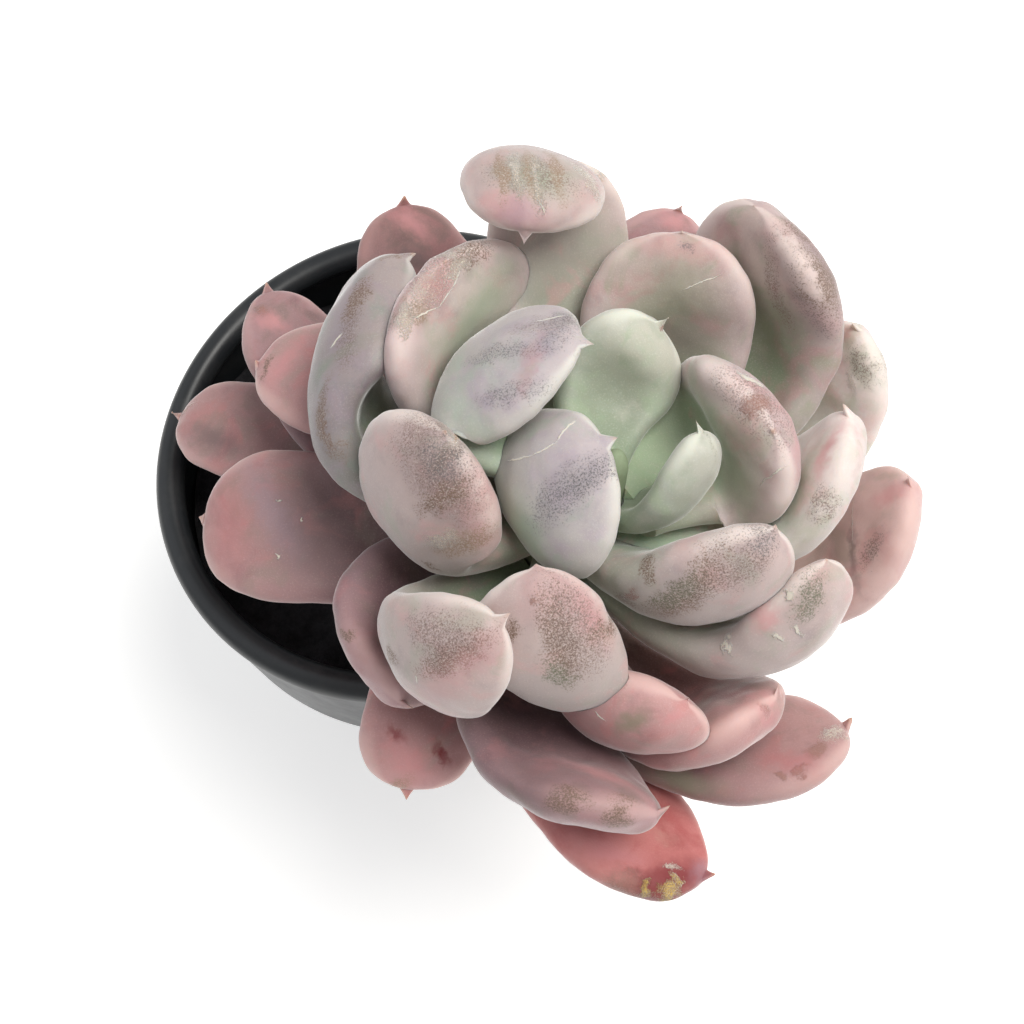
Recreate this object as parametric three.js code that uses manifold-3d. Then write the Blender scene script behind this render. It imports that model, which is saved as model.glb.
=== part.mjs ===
// A fat-leaved rosette succulent in its round black nursery pot.
// Millimetres, +Z up. The origin is the centre of the pot's underside, which stands on the table.
// The head leans out over the front of the rim, so every leaf has its own place: the stem's curve gives
// where it starts, and two points read off the photograph give where its middle and its tip are seen.

import * as THREE from "three";
import { mergeVertices } from "three/addons/utils/BufferGeometryUtils.js";
import Module from "manifold-3d";

const wasm = await Module();
wasm.setup();

// Driving dimensions.

const GAP = 0.3; // clear space between neighbours that grow against each other

const POT_HEIGHT = 80;
const RIM_RADIUS = 45; // a 9 cm pot, measured over its rim
const BEAD_RADIUS = 2.5; // the rounded lip
const COLLAR_DROP = 24; // how far the upright collar hangs below the lip's centre
const COLLAR_STEP = 1.8; // the body below is this much narrower
const FOOT_RADIUS = 31;
const FOOT_ROUNDING = 2.5;
const WALL = 1.4;
const DRAIN_HOLES = 6;
const DRAIN_RADIUS = 3;
const DRAIN_RING = 19;
const ROUND = 56; // facets around the pot

const SOIL_TOP = 66;
const SOIL_BUMP = 0.9; // the compost's surface rises and falls by this much

const STEM_FOOT = new THREE.Vector3(-2, -6, 50); // below the soil's surface
const STEM_BEND = new THREE.Vector3(13, -42, 90); // the stem bows out towards the rim
const STEM_TOP = new THREE.Vector3(31, -33, 124); // the growing point
const STEM_THICK = 6.5; // radius at the foot
const STEM_THIN = 3; // radius at the growing point

const LEAF_AROUND = 12;
const LEAF_ALONG = 12;
const MUCRO = 1.9; // the little point at a leaf's end
const NIB_SHARE = 0.09; // its foot, as a share of the leaf's width and thickness

// Leaf colours: the young leaves are sage green, the rest carry a pearly bloom over rose.
const SAGE = "#b5c2ad";
const PEARL = "#c6bab7";
const ROSE = "#bf9c9b";
const SALMON = "#b9817b"; // the lowest, oldest leaf

// The photograph's view, from which a leaf's points are read. A pixel and a height above the table
// give one point in space. The camera stands in front, at azimuth 0, and looks steeply down.
const VIEW_CENTRE = 512;
const VIEW_FOCAL = 1500; // pixels
const VIEW_ELEVATION = THREE.MathUtils.degToRad(67);
const VIEW_ROLL = THREE.MathUtils.degToRad(-18.2);
const RIM_SEEN = [406.2, 453]; // the pixel of the lip ring's centre
const RIM_DISTANCE = 262.7; // its depth in front of the camera

const viewForward = new THREE.Vector3(
  0,
  Math.cos(VIEW_ELEVATION),
  -Math.sin(VIEW_ELEVATION),
);
const levelRight = new THREE.Vector3(1, 0, 0);
const levelUp = new THREE.Vector3().crossVectors(levelRight, viewForward);
const viewRight = levelRight
  .clone()
  .multiplyScalar(Math.cos(VIEW_ROLL))
  .addScaledVector(levelUp, Math.sin(VIEW_ROLL));
const viewDown = levelRight
  .clone()
  .multiplyScalar(Math.sin(VIEW_ROLL))
  .addScaledVector(levelUp, -Math.cos(VIEW_ROLL));

function viewRay(u, v) {
  return viewForward
    .clone()
    .addScaledVector(viewRight, (u - VIEW_CENTRE) / VIEW_FOCAL)
    .addScaledVector(viewDown, (v - VIEW_CENTRE) / VIEW_FOCAL);
}

const rimCentre = new THREE.Vector3(0, 0, POT_HEIGHT - BEAD_RADIUS);
const viewEye = rimCentre.clone().addScaledVector(viewRay(...RIM_SEEN), -RIM_DISTANCE);

// The point in space that is seen at pixel (u, v) and stands at this height above the table.
function seen([u, v, height]) {
  const ray = viewRay(u, v);
  return viewEye.clone().addScaledVector(ray, (height - viewEye.z) / ray.z);
}

// Solids. Shapes come from three.js geometries, and manifold-3d only cuts them.

function toSolid(geometry) {
  const bare = new THREE.BufferGeometry();
  bare.setAttribute("position", geometry.getAttribute("position"));
  bare.setIndex(geometry.getIndex());
  const merged = mergeVertices(bare, 1e-4);
  const index = merged.getIndex().array;
  const corners = [];
  for (let i = 0; i < index.length; i += 3) {
    const [a, b, c] = index.slice(i, i + 3);
    if (a !== b && b !== c && c !== a) corners.push(a, b, c); // a pole's quads are triangles
  }
  return new wasm.Manifold(
    new wasm.Mesh({
      numProp: 3,
      vertProperties: new Float32Array(merged.getAttribute("position").array),
      triVerts: new Uint32Array(corners),
    }),
  );
}

function toGeometry(solid) {
  const mesh = solid.getMesh();
  const geometry = new THREE.BufferGeometry();
  geometry.setAttribute("position", new THREE.BufferAttribute(mesh.vertProperties, 3));
  geometry.setIndex(new THREE.BufferAttribute(mesh.triVerts, 1));
  geometry.computeVertexNormals();
  return geometry;
}

// A cut can leave a crumb behind a neighbour: the part is the largest piece.
function largestPiece(solid) {
  return solid.decompose().reduce((a, b) => (b.volume() > a.volume() ? b : a));
}

// The pot: one turned wall with a rounded lip, an upright collar, a tapering body and a pierced base.

function potOutline(wall) {
  const lip = POT_HEIGHT - BEAD_RADIUS;
  const collarFoot = lip - COLLAR_DROP;
  const outer = RIM_RADIUS - 0.4 - wall;
  const bodyTop = outer - COLLAR_STEP;
  return { lip, collarFoot, outer, bodyTop, foot: FOOT_RADIUS - wall };
}

function makePot() {
  const out = potOutline(0);
  const inn = potOutline(WALL);
  const path = new THREE.Path();
  path.moveTo(0, 0);
  path.lineTo(out.foot - FOOT_ROUNDING, 0);
  path.quadraticCurveTo(out.foot, 0, out.foot + 0.4, FOOT_ROUNDING);
  path.lineTo(out.bodyTop, out.collarFoot - COLLAR_STEP);
  path.lineTo(out.outer - 0.3, out.collarFoot);
  path.lineTo(out.outer, out.lip - BEAD_RADIUS * 0.6);
  path.absarc(RIM_RADIUS - BEAD_RADIUS, out.lip, BEAD_RADIUS, -0.55, Math.PI + 0.75, false);
  path.lineTo(inn.outer, out.lip - BEAD_RADIUS * 1.5);
  path.lineTo(inn.outer - 0.3, out.collarFoot - 0.4);
  path.lineTo(inn.bodyTop, out.collarFoot - COLLAR_STEP - 0.4);
  path.lineTo(inn.foot + 0.4, WALL + FOOT_ROUNDING);
  path.lineTo(inn.foot - FOOT_ROUNDING, WALL);
  path.lineTo(0, WALL);
  const turned = new THREE.LatheGeometry(path.getPoints(5), ROUND);
  turned.rotateX(Math.PI / 2);
  let pot = toSolid(turned);
  for (let i = 0; i < DRAIN_HOLES; i++) {
    const angle = ((i + 0.5) / DRAIN_HOLES) * 2 * Math.PI;
    const drill = new THREE.CylinderGeometry(DRAIN_RADIUS, DRAIN_RADIUS, 4 * WALL, 20);
    drill.rotateX(Math.PI / 2);
    drill.translate(DRAIN_RING * Math.cos(angle), DRAIN_RING * Math.sin(angle), WALL / 2);
    pot = pot.subtract(toSolid(drill));
  }
  return pot;
}

// The soil: a plug of compost that fills the pot to a little below the rim.

function makeSoil() {
  const inn = potOutline(WALL + GAP);
  const steps = [
    [0, WALL + GAP],
    [inn.foot - FOOT_ROUNDING, WALL + GAP],
    [inn.foot + 0.2, WALL + GAP + FOOT_ROUNDING],
    [inn.bodyTop - 0.1, inn.collarFoot - COLLAR_STEP - 0.6],
    [inn.outer - 0.6, inn.collarFoot + 0.4],
    [inn.outer - 0.6, SOIL_TOP - 1],
  ];
  const rings = 7;
  for (let i = 1; i <= rings; i++) steps.push([(inn.outer - 2) * (1 - i / rings), SOIL_TOP]);
  const profile = steps.map(([radius, height]) => new THREE.Vector2(radius, height));
  const plug = new THREE.LatheGeometry(profile, 36);
  plug.rotateX(Math.PI / 2);
  const at = plug.getAttribute("position");
  for (let i = 0; i < at.count; i++) {
    const x = at.getX(i);
    const y = at.getY(i);
    if (at.getZ(i) < SOIL_TOP - 0.5) continue;
    const bump = Math.sin(0.31 * x + 1.3) * Math.cos(0.27 * y) + 0.6 * Math.sin(0.53 * y - 0.4 * x);
    at.setZ(i, SOIL_TOP + SOIL_BUMP * bump);
  }
  return toSolid(plug).subtract(makeStem(GAP));
}

// The stem: a short thick stalk that leans from the soil over the rim and turns up under the head.

const stemLine = new THREE.QuadraticBezierCurve3(STEM_FOOT, STEM_BEND, STEM_TOP);

function stemRadius(along) {
  return THREE.MathUtils.lerp(STEM_THICK, STEM_THIN, along ** 2);
}

// A closed skin over a sphere's grid, from pole to pole: place(point, along, turn) sets each point.
function skin(around, along, place) {
  const ball = new THREE.SphereGeometry(1, around, along);
  const at = ball.getAttribute("position");
  const point = new THREE.Vector3();
  for (let i = 0; i < at.count; i++) {
    const row = Math.floor(i / (around + 1));
    const column = i % (around + 1);
    place(point, row / along, (-(column % around) / around) * 2 * Math.PI);
    at.setXYZ(i, point.x, point.y, point.z);
  }
  return ball;
}

function makeStem(grow) {
  const side = new THREE.Vector3();
  const front = new THREE.Vector3();
  const around = 14;
  const along = 12;
  const stem = skin(around, along, (point, row, turn) => {
    const s = THREE.MathUtils.clamp((row - 0.5 / along) / (1 - 1 / along), 0, 1);
    const tangent = stemLine.getTangent(s);
    side.crossVectors(tangent, levelRight).normalize();
    front.crossVectors(side, tangent);
    const cap = row === 0 || row === 1 ? 0 : stemRadius(s) + grow;
    stemLine.getPoint(s, point);
    if (row === 1) point.addScaledVector(tangent, grow);
    point.addScaledVector(front, cap * Math.cos(turn)).addScaledVector(side, cap * Math.sin(turn));
  });
  return toSolid(stem);
}

// A leaf: a fat spoon drawn out along a curve from the stem through its middle to its tip.
//
// joins     where on the stem it starts, 0 at the foot and 1 at the growing point
// middle    pixel and height of a point half way along it
// tip       pixel and height of its tip
// wide      greatest width
// thick     greatest thickness
// cup       how far the margins bend towards the upper face, in radians each side
// scoop     how deep the upper face is hollowed
// turn      roll about its own length, in degrees, at the base and at the tip
// neck      its width where it starts, as a share of the greatest
// peak      where along its length it is widest
// nib       how far the point at its end is turned up from its length, in degrees
// flap      a folded end, which starts inside the leaf

const LEAF_DEFAULTS = {
  thick: 9.5,
  cup: 0.45,
  scoop: 2.4,
  turn: [0, 0],
  neck: 0.42,
  peak: 0.66,
  nib: 40,
};

function leaf(name, colour, joins, middle, tip, shape) {
  return { ...LEAF_DEFAULTS, name, colour, joins, middle, tip, ...shape };
}

// In the order in which they make room for each other: the first keep their whole form.

const LEAVES = [
  leaf("leaf_01", PEARL, 0.93, [541, 507, 119], [620, 429, 131], { wide: 26, scoop: 1, neck: 0.8 }),
  leaf("leaf_02", PEARL, 0.9, [470, 406, 120], [597, 337, 133], {
    wide: 25, scoop: 1, neck: 0.45, turn: [5, 20],
  }),
  leaf("leaf_03", SAGE, 0.9, [612, 387, 117], [671, 315, 122.5], { wide: 18, scoop: 3.2, nib: 10 }),
  leaf("leaf_04", SAGE, 0.84, [658, 505, 117], [703, 421, 129], {
    wide: 12, thick: 7, peak: 0.44, turn: [-20, -20],
  }),
  leaf("leaf_05", PEARL, 0.8, [447, 527, 113], [449, 423, 134], {
    wide: 26, scoop: 0.5, cup: 0.2, thick: 13, turn: [40, 40],
  }),
  leaf("leaf_06", PEARL, 0.62, [428, 662, 115], [509, 615, 131], { wide: 21.5, peak: 0.52 }),
  leaf("leaf_07", PEARL, 0.74, [548, 672, 113.5], [536, 554, 130.5], { wide: 22.5, peak: 0.6 }),
  leaf("leaf_08", PEARL, 0.76, [675, 587, 113], [781, 523, 128], {
    wide: 20, thick: 10.5, cup: 0.25, scoop: 0, neck: 0.95, peak: 0.46, turn: [-38, -38],
  }),
  leaf("leaf_09", SAGE, 0.86, [705, 450, 109], [778, 430, 126], {
    wide: 27, thick: 11, cup: 0.6, scoop: 5, neck: 0.7, peak: 0.72,
  }),
  leaf("leaf_10", PEARL, 0.78, [458, 358, 113], [444, 254, 131], {
    wide: 32, thick: 11.5, cup: 0.55, scoop: 5, peak: 0.74, turn: [5, 10],
  }),
  leaf("leaf_11", SAGE, 0.83, [665, 330, 108], [683, 223, 120.5], { wide: 27, cup: 0.55, scoop: 4 }),
  leaf("leaf_12", PEARL, 0.7, [352, 415, 113.5], [412, 247, 124], {
    wide: 23, thick: 11.5, cup: 0.55, scoop: 4.5, turn: [26, 36],
  }),
  leaf("leaf_13", PEARL, 0.75, [768, 310, 105], [752, 197, 122], {
    wide: 28, thick: 12, cup: 0.6, scoop: 5.2, peak: 0.76, turn: [-8, -14],
  }),
  leaf("leaf_14", SAGE, 0.78, [561, 285, 112], [541, 153, 127], {
    wide: 23, thick: 7, cup: 0.5, scoop: 3, peak: 0.75,
    flap: {
      start: [540, 162, 122.5],
      middle: [530, 198, 131],
      tip: [524, 244, 130],
      wide: 21.5, thick: 7, cup: 0.35, scoop: 0, neck: 0.8, peak: 0.45,
    },
  }),
  leaf("leaf_15", SAGE, 0.78, [800, 500, 108.5], [852, 405, 118], {
    wide: 19, cup: 0.5, scoop: 3.4, turn: [-12, -16],
  }),
  leaf("leaf_16", SAGE, 0.7, [764, 641, 106], [830, 553, 121.5], {
    wide: 17.5, thick: 9.5, cup: 0.3, scoop: 1, neck: 0.85, peak: 0.6, turn: [-35, -30],
  }),
  leaf("leaf_17", PEARL, 0.66, [833, 395, 95], [858, 320, 108], { wide: 20, scoop: 3.2, peak: 0.7 }),
  leaf("leaf_18", ROSE, 0.68, [855, 548, 97], [915, 475, 110], { wide: 21 }),
  leaf("leaf_19", ROSE, 0.64, [630, 716, 105], [694, 696, 114], {
    wide: 21, thick: 10, turn: [-25, -35],
  }),
  leaf("leaf_20", ROSE, 0.58, [715, 724, 95.5], [785, 688, 103.5], { wide: 20, peak: 0.76 }),
  leaf("leaf_21", ROSE, 0.48, [745, 752, 87.5], [854, 724, 89.5], { wide: 19, peak: 0.78 }),
  leaf("leaf_22", ROSE, 0.55, [550, 768, 100], [670, 815, 104], { wide: 23 }),
  leaf("leaf_23", SALMON, 0.46, [600, 808, 85], [714, 880, 86], { wide: 22 }),
  leaf("leaf_24", ROSE, 0.44, [426, 710, 91], [405, 798, 88], { wide: 20 }),
  leaf("leaf_25", ROSE, 0.6, [400, 625, 102], [407, 714, 105], { wide: 24 }),
  leaf("leaf_26", ROSE, 0.55, [312, 530, 98], [203, 520, 98], { wide: 25, nib: 80 }),
  leaf("leaf_27", ROSE, 0.6, [335, 385, 103.5], [257, 368, 105], { wide: 22, nib: 80 }),
  leaf("leaf_28", ROSE, 0.44, [270, 442, 89], [173, 415, 87], { wide: 19, thick: 8 }),
  leaf("leaf_29", ROSE, 0.53, [300, 360, 97.5], [265, 285, 101.5], { wide: 18, thick: 8 }),
  leaf("leaf_30", ROSE, 0.6, [417, 281, 94.5], [402, 197, 101], { wide: 24 }),
  leaf("leaf_31", ROSE, 0.6, [655, 262, 95], [682, 203, 102], { wide: 21 }),
  leaf("leaf_32", SAGE, 0.66, [700, 540, 103], [745, 538, 104], { wide: 13, thick: 8 }),
  leaf("leaf_33", ROSE, 0.55, [545, 330, 84], [525, 262, 83], { wide: 14 }),
];

// Half the width, or of the thickness, as a share of the greatest: a narrow base, a swell and a round end.
function swell(s, base, peak, blunt) {
  if (s < peak) return base + (1 - base) * Math.sin((Math.PI / 2) * (s / peak)) ** 1.2;
  return Math.max((1 - ((s - peak) / (1 - peak)) ** blunt) ** (1 / 2), NIB_SHARE);
}

// The parabola that passes through its middle point at the share of its length where that point lies.
function spineThrough(start, middle, tip) {
  const before = start.distanceTo(middle);
  const t = before / (before + middle.distanceTo(tip));
  const handle = middle.clone();
  handle.addScaledVector(start, -((1 - t) ** 2));
  handle.addScaledVector(tip, -(t ** 2));
  handle.divideScalar(2 * t * (1 - t));
  return new THREE.QuadraticBezierCurve3(start, handle, tip);
}

function spoon(shape, spine, across, grow) {
  const nib = THREE.MathUtils.degToRad(shape.nib);
  const body = 1 - (MUCRO * Math.cos(nib)) / spine.getLength();
  const side = new THREE.Vector3();
  const face = new THREE.Vector3();
  const blade = skin(LEAF_AROUND, LEAF_ALONG, (point, row, turn) => {
    const pole = row === 0 || row === 1;
    const s = Math.sin((Math.min((row * LEAF_ALONG) / (LEAF_ALONG - 1), 1) * Math.PI) / 2);
    const t = s * body;
    const tangent = spine.getTangent(t);
    spine.getPoint(t, point);
    side.copy(across).addScaledVector(tangent, -across.dot(tangent)).normalize();
    const roll = THREE.MathUtils.lerp(shape.turn[0], shape.turn[1], t);
    side.applyAxisAngle(tangent, THREE.MathUtils.degToRad(roll));
    face.crossVectors(tangent, side);
    if (row === 1) {
      point.addScaledVector(tangent, MUCRO * Math.cos(nib));
      point.addScaledVector(face, MUCRO * Math.sin(nib));
    }
    const half = (shape.wide / 2 + grow) * (pole ? 0 : swell(s, shape.neck, shape.peak, 3));
    const deep = (shape.thick / 2 + grow) * (pole ? 0 : swell(s, 0.5, 0.6, 3));
    const hollow = shape.scoop * Math.sin(Math.PI * Math.min(s * 1.15, 1)) ** 2;
    const up = Math.sin(turn);
    const lift = deep * up - (up > 0 ? hollow * up ** 3 : 0);
    const bend = shape.wide / 2 / shape.cup;
    const angle = (half * Math.cos(turn)) / bend;
    point.addScaledVector(side, (bend - lift) * Math.sin(angle));
    point.addScaledVector(face, bend - (bend - lift) * Math.cos(angle));
  });
  return toSolid(blade);
}

function makeLeaf(shape, grow) {
  const start = stemLine.getPoint(shape.joins);
  const stemUp = stemLine.getTangent(shape.joins);
  const middle = seen(shape.middle);
  const out = middle.clone().sub(start);
  out.addScaledVector(stemUp, -out.dot(stemUp)).normalize();
  start.addScaledVector(out, stemRadius(shape.joins) - 1.5);
  const across = new THREE.Vector3().crossVectors(stemUp, out);
  const blade = spoon(shape, spineThrough(start, middle, seen(shape.tip)), across, grow);
  return shape.flap ? blade.add(makeFlap(shape.flap, grow)) : blade;
}

// The end of one leaf is folded over: its back faces the camera.
function makeFlap(record, grow) {
  const flap = { ...LEAF_DEFAULTS, ...record };
  const spine = spineThrough(...[flap.start, flap.middle, flap.tip].map(seen));
  const across = new THREE.Vector3().crossVectors(viewForward, spine.getTangent(0.5));
  return spoon(flap, spine, across, grow);
}

// Assembly.

const plant = new THREE.Group();
plant.name = "potted_succulent";

function add(name, solid, colour, roughness) {
  const material = new THREE.MeshStandardMaterial({ color: colour, roughness, metalness: 0 });
  const mesh = new THREE.Mesh(toGeometry(largestPiece(solid)), material);
  mesh.name = name;
  plant.add(mesh);
}

add("pot", makePot(), "#1e2021", 0.4);
add("soil", makeSoil(), "#1b1714", 0.95);
add("stem", makeStem(0), "#8a8a70", 0.7);

// Leaves that grow against each other: one keeps its form, and those after it make room for it.
const taken = [makeStem(GAP)];
for (const shape of LEAVES) {
  const solid = taken.reduce((rest, other) => rest.subtract(other), makeLeaf(shape, 0));
  add(shape.name, solid, shape.colour, 0.6);
  taken.push(makeLeaf(shape, GAP));
}

export default plant;
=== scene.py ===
import math

import bmesh
import bpy
from mathutils import Matrix, Vector, noise
from mathutils.bvhtree import BVHTree
from mathutils.kdtree import KDTree


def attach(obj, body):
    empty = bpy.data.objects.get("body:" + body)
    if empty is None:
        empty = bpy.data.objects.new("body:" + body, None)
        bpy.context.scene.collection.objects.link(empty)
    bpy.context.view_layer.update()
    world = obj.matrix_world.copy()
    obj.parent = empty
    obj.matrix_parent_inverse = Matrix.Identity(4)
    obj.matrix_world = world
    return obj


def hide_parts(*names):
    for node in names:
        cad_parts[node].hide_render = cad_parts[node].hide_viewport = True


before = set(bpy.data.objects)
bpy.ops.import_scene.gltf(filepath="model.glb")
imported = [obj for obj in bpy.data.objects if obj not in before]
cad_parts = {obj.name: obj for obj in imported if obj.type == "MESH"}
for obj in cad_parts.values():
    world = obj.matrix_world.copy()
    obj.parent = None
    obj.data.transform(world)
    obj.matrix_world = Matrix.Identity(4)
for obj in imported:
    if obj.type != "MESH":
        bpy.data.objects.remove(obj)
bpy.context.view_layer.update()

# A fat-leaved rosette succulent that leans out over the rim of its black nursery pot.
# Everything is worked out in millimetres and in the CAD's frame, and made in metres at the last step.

MM = 0.001
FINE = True

# Sizes. The pot's, the compost's, the stem's and the length of a leaf's point are the solids' own.

GAP = 0.3  # what is cut out for the stem is this much wider, and the compost is this clear of the pot
SEAM = 0.1  # a leaf is cut with copies of the earlier ones that are grown by this

POT_HEIGHT = 80
RIM_RADIUS = 45
BEAD_RADIUS = 2.5
COLLAR_DROP = 24
COLLAR_STEP = 1.8
FOOT_RADIUS = 31
FOOT_ROUNDING = 2.5
FOOT_STEPS = 6
LIP_STEPS = 24
LIP_FROM = -0.55  # where the lip's roll starts, in radians up from its outermost point
LIP_TURN = math.pi + 1.3  # and how far it goes round
WALL = 1.4
DRAIN_HOLES = 6
DRAIN_RADIUS = 3
DRAIN_RING = 19

SOIL_TOP = 66
SOIL_BUMP = 0.9
CRUMB = 2.1  # the compost's lumps are about this far apart

STEM_FOOT = Vector((-2, -6, 50))
STEM_BEND = Vector((13, -42, 90))
STEM_TOP = Vector((31, -33, 124))
STEM_THICK = 6.5
STEM_THIN = 3

MUCRO = 1.9  # the little point at a leaf's end
NIB_SHARE = 0.11  # its foot, as a share of the leaf's width and thickness
NIB_ROWS = 1 / 12  # the share of a leaf's rings that make it
KEEL = 0.55  # a soft ridge on the back that runs out into the point
KEEL_HALF = 1.6
KEEL_RUN = 0.3  # it lies on this last share of the leaf's length
POINT_TAPER = 1.35  # over 1, so the point's sides are hollow
BURIED = 1.5  # how deep a leaf's foot sits in the stem

LUMP_SPAN = 7  # the size of the broad lumps of a leaf's skin, and the strength of both kinds
BROAD_LUMPS = 0.5
FINE_LUMPS = 0.16
FINER = 2.7  # how many times smaller the fine ones are
FOOT_SMOOTH = 8  # lumps fade in over this length from the foot
SEED_STEP = 11.0  # the leaves take their lumps from places in the noise this far apart

SKIN_REACH = 0.8  # a vertex further than this from the uncut skin lies on a cut face
FOLD_SHARE = 0.75  # a folded end goes on with the colours of its leaf from here
FOLD_REACH = 40  # and its marks lie this much further out, apart from the leaf's own
SCARS = 0.35  # rings that fallen leaves left on the stem

# The photograph's view: a pixel and a height above the table give one point in space.

IMAGE_SIZE = 1024
VIEW_CENTRE = 512
VIEW_FOCAL = 1500
VIEW_ELEVATION = math.radians(67)
VIEW_ROLL = math.radians(-18.2)
RIM_SEEN = (406.2, 453)
RIM_DISTANCE = 262.7
SENSOR = 36

view_forward = Vector((0, math.cos(VIEW_ELEVATION), -math.sin(VIEW_ELEVATION)))
level_right = Vector((1, 0, 0))
level_up = level_right.cross(view_forward)
view_right = level_right * math.cos(VIEW_ROLL) + level_up * math.sin(VIEW_ROLL)
view_down = level_right * math.sin(VIEW_ROLL) - level_up * math.cos(VIEW_ROLL)


def view_ray(u, v):
    right = view_right * ((u - VIEW_CENTRE) / VIEW_FOCAL)
    return view_forward + right + view_down * ((v - VIEW_CENTRE) / VIEW_FOCAL)


view_eye = Vector((0, 0, POT_HEIGHT - BEAD_RADIUS)) - view_ray(*RIM_SEEN) * RIM_DISTANCE


def seen(spot):
    """The point that is seen at pixel (u, v) and stands at this height above the table."""
    ray = view_ray(spot[0], spot[1])
    return view_eye + ray * ((spot[2] - view_eye.z) / ray.z)


def set_camera():
    camera = bpy.data.objects.new("camera", bpy.data.cameras.new("camera"))
    camera.data.sensor_width = SENSOR
    camera.data.lens = SENSOR * VIEW_FOCAL / IMAGE_SIZE
    camera.data.clip_start = 0.01
    camera.data.clip_end = 20
    turn = Matrix((view_right, -view_down, -view_forward)).transposed()
    camera.matrix_world = Matrix.Translation(view_eye * MM) @ turn.to_4x4()
    bpy.context.collection.objects.link(camera)
    bpy.context.scene.camera = camera


# Leaves. Each is a fat spoon drawn out along a curve from the stem through its middle to its tip.

LEAF_DEFAULTS = dict(
    wide=20,
    thick=9.5,
    cup=0.45,
    scoop=2.4,
    turn=(0, 0),
    neck=0.42,
    peak=0.66,
    nib=40,
    point=MUCRO,
    fold=None,
)


def leaf(joins, middle, tip, **shape):
    return {**LEAF_DEFAULTS, "joins": joins, "middle": middle, "tip": tip, **shape}


# In the order in which they make room for each other: the first keep their whole form.
LEAVES = [
    leaf(0.93, (541, 507, 119), (620, 429, 131), wide=26, scoop=1, neck=0.8),
    leaf(0.9, (470, 406, 120), (597, 337, 133), wide=25, scoop=1, neck=0.45, turn=(5, 20)),
    leaf(0.9, (612, 387, 117), (671, 315, 122.5), wide=18, scoop=3.2, nib=10),
    leaf(0.84, (658, 505, 117), (703, 421, 129), wide=12, thick=7, peak=0.44, turn=(-20, -20)),
    leaf(
        0.8, (447, 527, 113), (449, 423, 134),
        wide=26, thick=13, cup=0.2, scoop=0.5, turn=(40, 40), point=0.6,
    ),
    leaf(0.62, (428, 662, 115), (509, 615, 131), wide=21.5, peak=0.52),
    leaf(0.74, (548, 672, 113.5), (536, 554, 130.5), wide=22.5, peak=0.6, point=0.8),
    leaf(
        0.76, (675, 587, 113), (781, 523, 128),
        wide=20, thick=10.5, cup=0.25, scoop=0, neck=0.95, peak=0.46, turn=(-38, -38), point=0.9,
    ),
    leaf(
        0.86, (705, 450, 109), (778, 430, 126),
        wide=27, thick=11, cup=0.6, scoop=5, neck=0.7, peak=0.72, point=0.5,
    ),
    leaf(
        0.78, (458, 358, 113), (444, 254, 131),
        wide=32, thick=11.5, cup=0.55, scoop=5, peak=0.74, turn=(5, 10), point=0.5,
    ),
    leaf(0.83, (665, 330, 108), (683, 223, 120.5), wide=27, cup=0.55, scoop=4, point=0.8),
    leaf(
        0.7, (352, 415, 113.5), (412, 247, 124),
        wide=23, thick=11.5, cup=0.55, scoop=4.5, turn=(26, 36),
    ),
    leaf(
        0.75, (768, 310, 105), (752, 197, 122),
        wide=28, thick=12, cup=0.6, scoop=5.2, peak=0.76, turn=(-8, -14), point=0.5,
    ),
    leaf(
        0.78, (561, 285, 112), (541, 153, 127),
        wide=23, thick=7, cup=0.5, scoop=3, peak=0.75,
        fold=leaf(
            None, (530, 198, 131), (524, 244, 130),
            start=(540, 162, 122.5), wide=21.5, thick=7, cup=0.35, scoop=0, neck=0.8, peak=0.45,
        ),
    ),
    leaf(0.78, (800, 500, 108.5), (852, 405, 118), wide=19, cup=0.5, scoop=3.4, turn=(-12, -16)),
    leaf(
        0.7, (764, 641, 106), (830, 553, 121.5),
        wide=17.5, thick=9.5, cup=0.3, scoop=1, neck=0.85, peak=0.6, turn=(-35, -30), point=0.5,
    ),
    leaf(0.66, (833, 395, 95), (858, 320, 108), wide=20, scoop=3.2, peak=0.7),
    leaf(0.68, (855, 548, 97), (915, 475, 110), wide=21),
    leaf(0.64, (630, 716, 105), (694, 696, 114), wide=21, thick=10, turn=(-25, -35), point=0.9),
    leaf(0.58, (715, 724, 95.5), (785, 688, 103.5), wide=20, peak=0.76),
    leaf(0.48, (745, 752, 87.5), (854, 724, 89.5), wide=19, peak=0.78),
    leaf(0.55, (550, 768, 100), (670, 815, 104), wide=23),
    leaf(0.46, (600, 808, 85), (714, 880, 86), wide=22),
    leaf(0.44, (426, 710, 91), (405, 798, 88), wide=20),
    leaf(0.6, (400, 625, 102), (407, 714, 105), wide=24),
    leaf(0.55, (312, 530, 98), (203, 520, 98), wide=25, nib=80),
    leaf(0.6, (335, 385, 103.5), (257, 368, 105), wide=22, nib=80),
    leaf(0.44, (270, 442, 89), (173, 415, 87), wide=19, thick=8),
    leaf(0.53, (300, 360, 97.5), (265, 285, 101.5), wide=18, thick=8),
    leaf(0.6, (417, 281, 94.5), (402, 197, 101), wide=24),
    leaf(0.6, (655, 262, 95), (682, 203, 102), wide=21),
    leaf(0.66, (700, 540, 103), (745, 538, 104), wide=13, thick=8),
    leaf(0.55, (545, 330, 84), (525, 262, 83), wide=14),
]


def curve_point(curve, t):
    start, handle, end = curve
    return start * (1 - t) ** 2 + handle * (2 * t * (1 - t)) + end * t**2


def curve_tangent(curve, t):
    start, handle, end = curve
    return ((handle - start) * (1 - t) + (end - handle) * t).normalized()


def curve_length(curve):
    points = [curve_point(curve, i / 100) for i in range(101)]
    return sum((b - a).length for a, b in zip(points, points[1:]))


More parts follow.
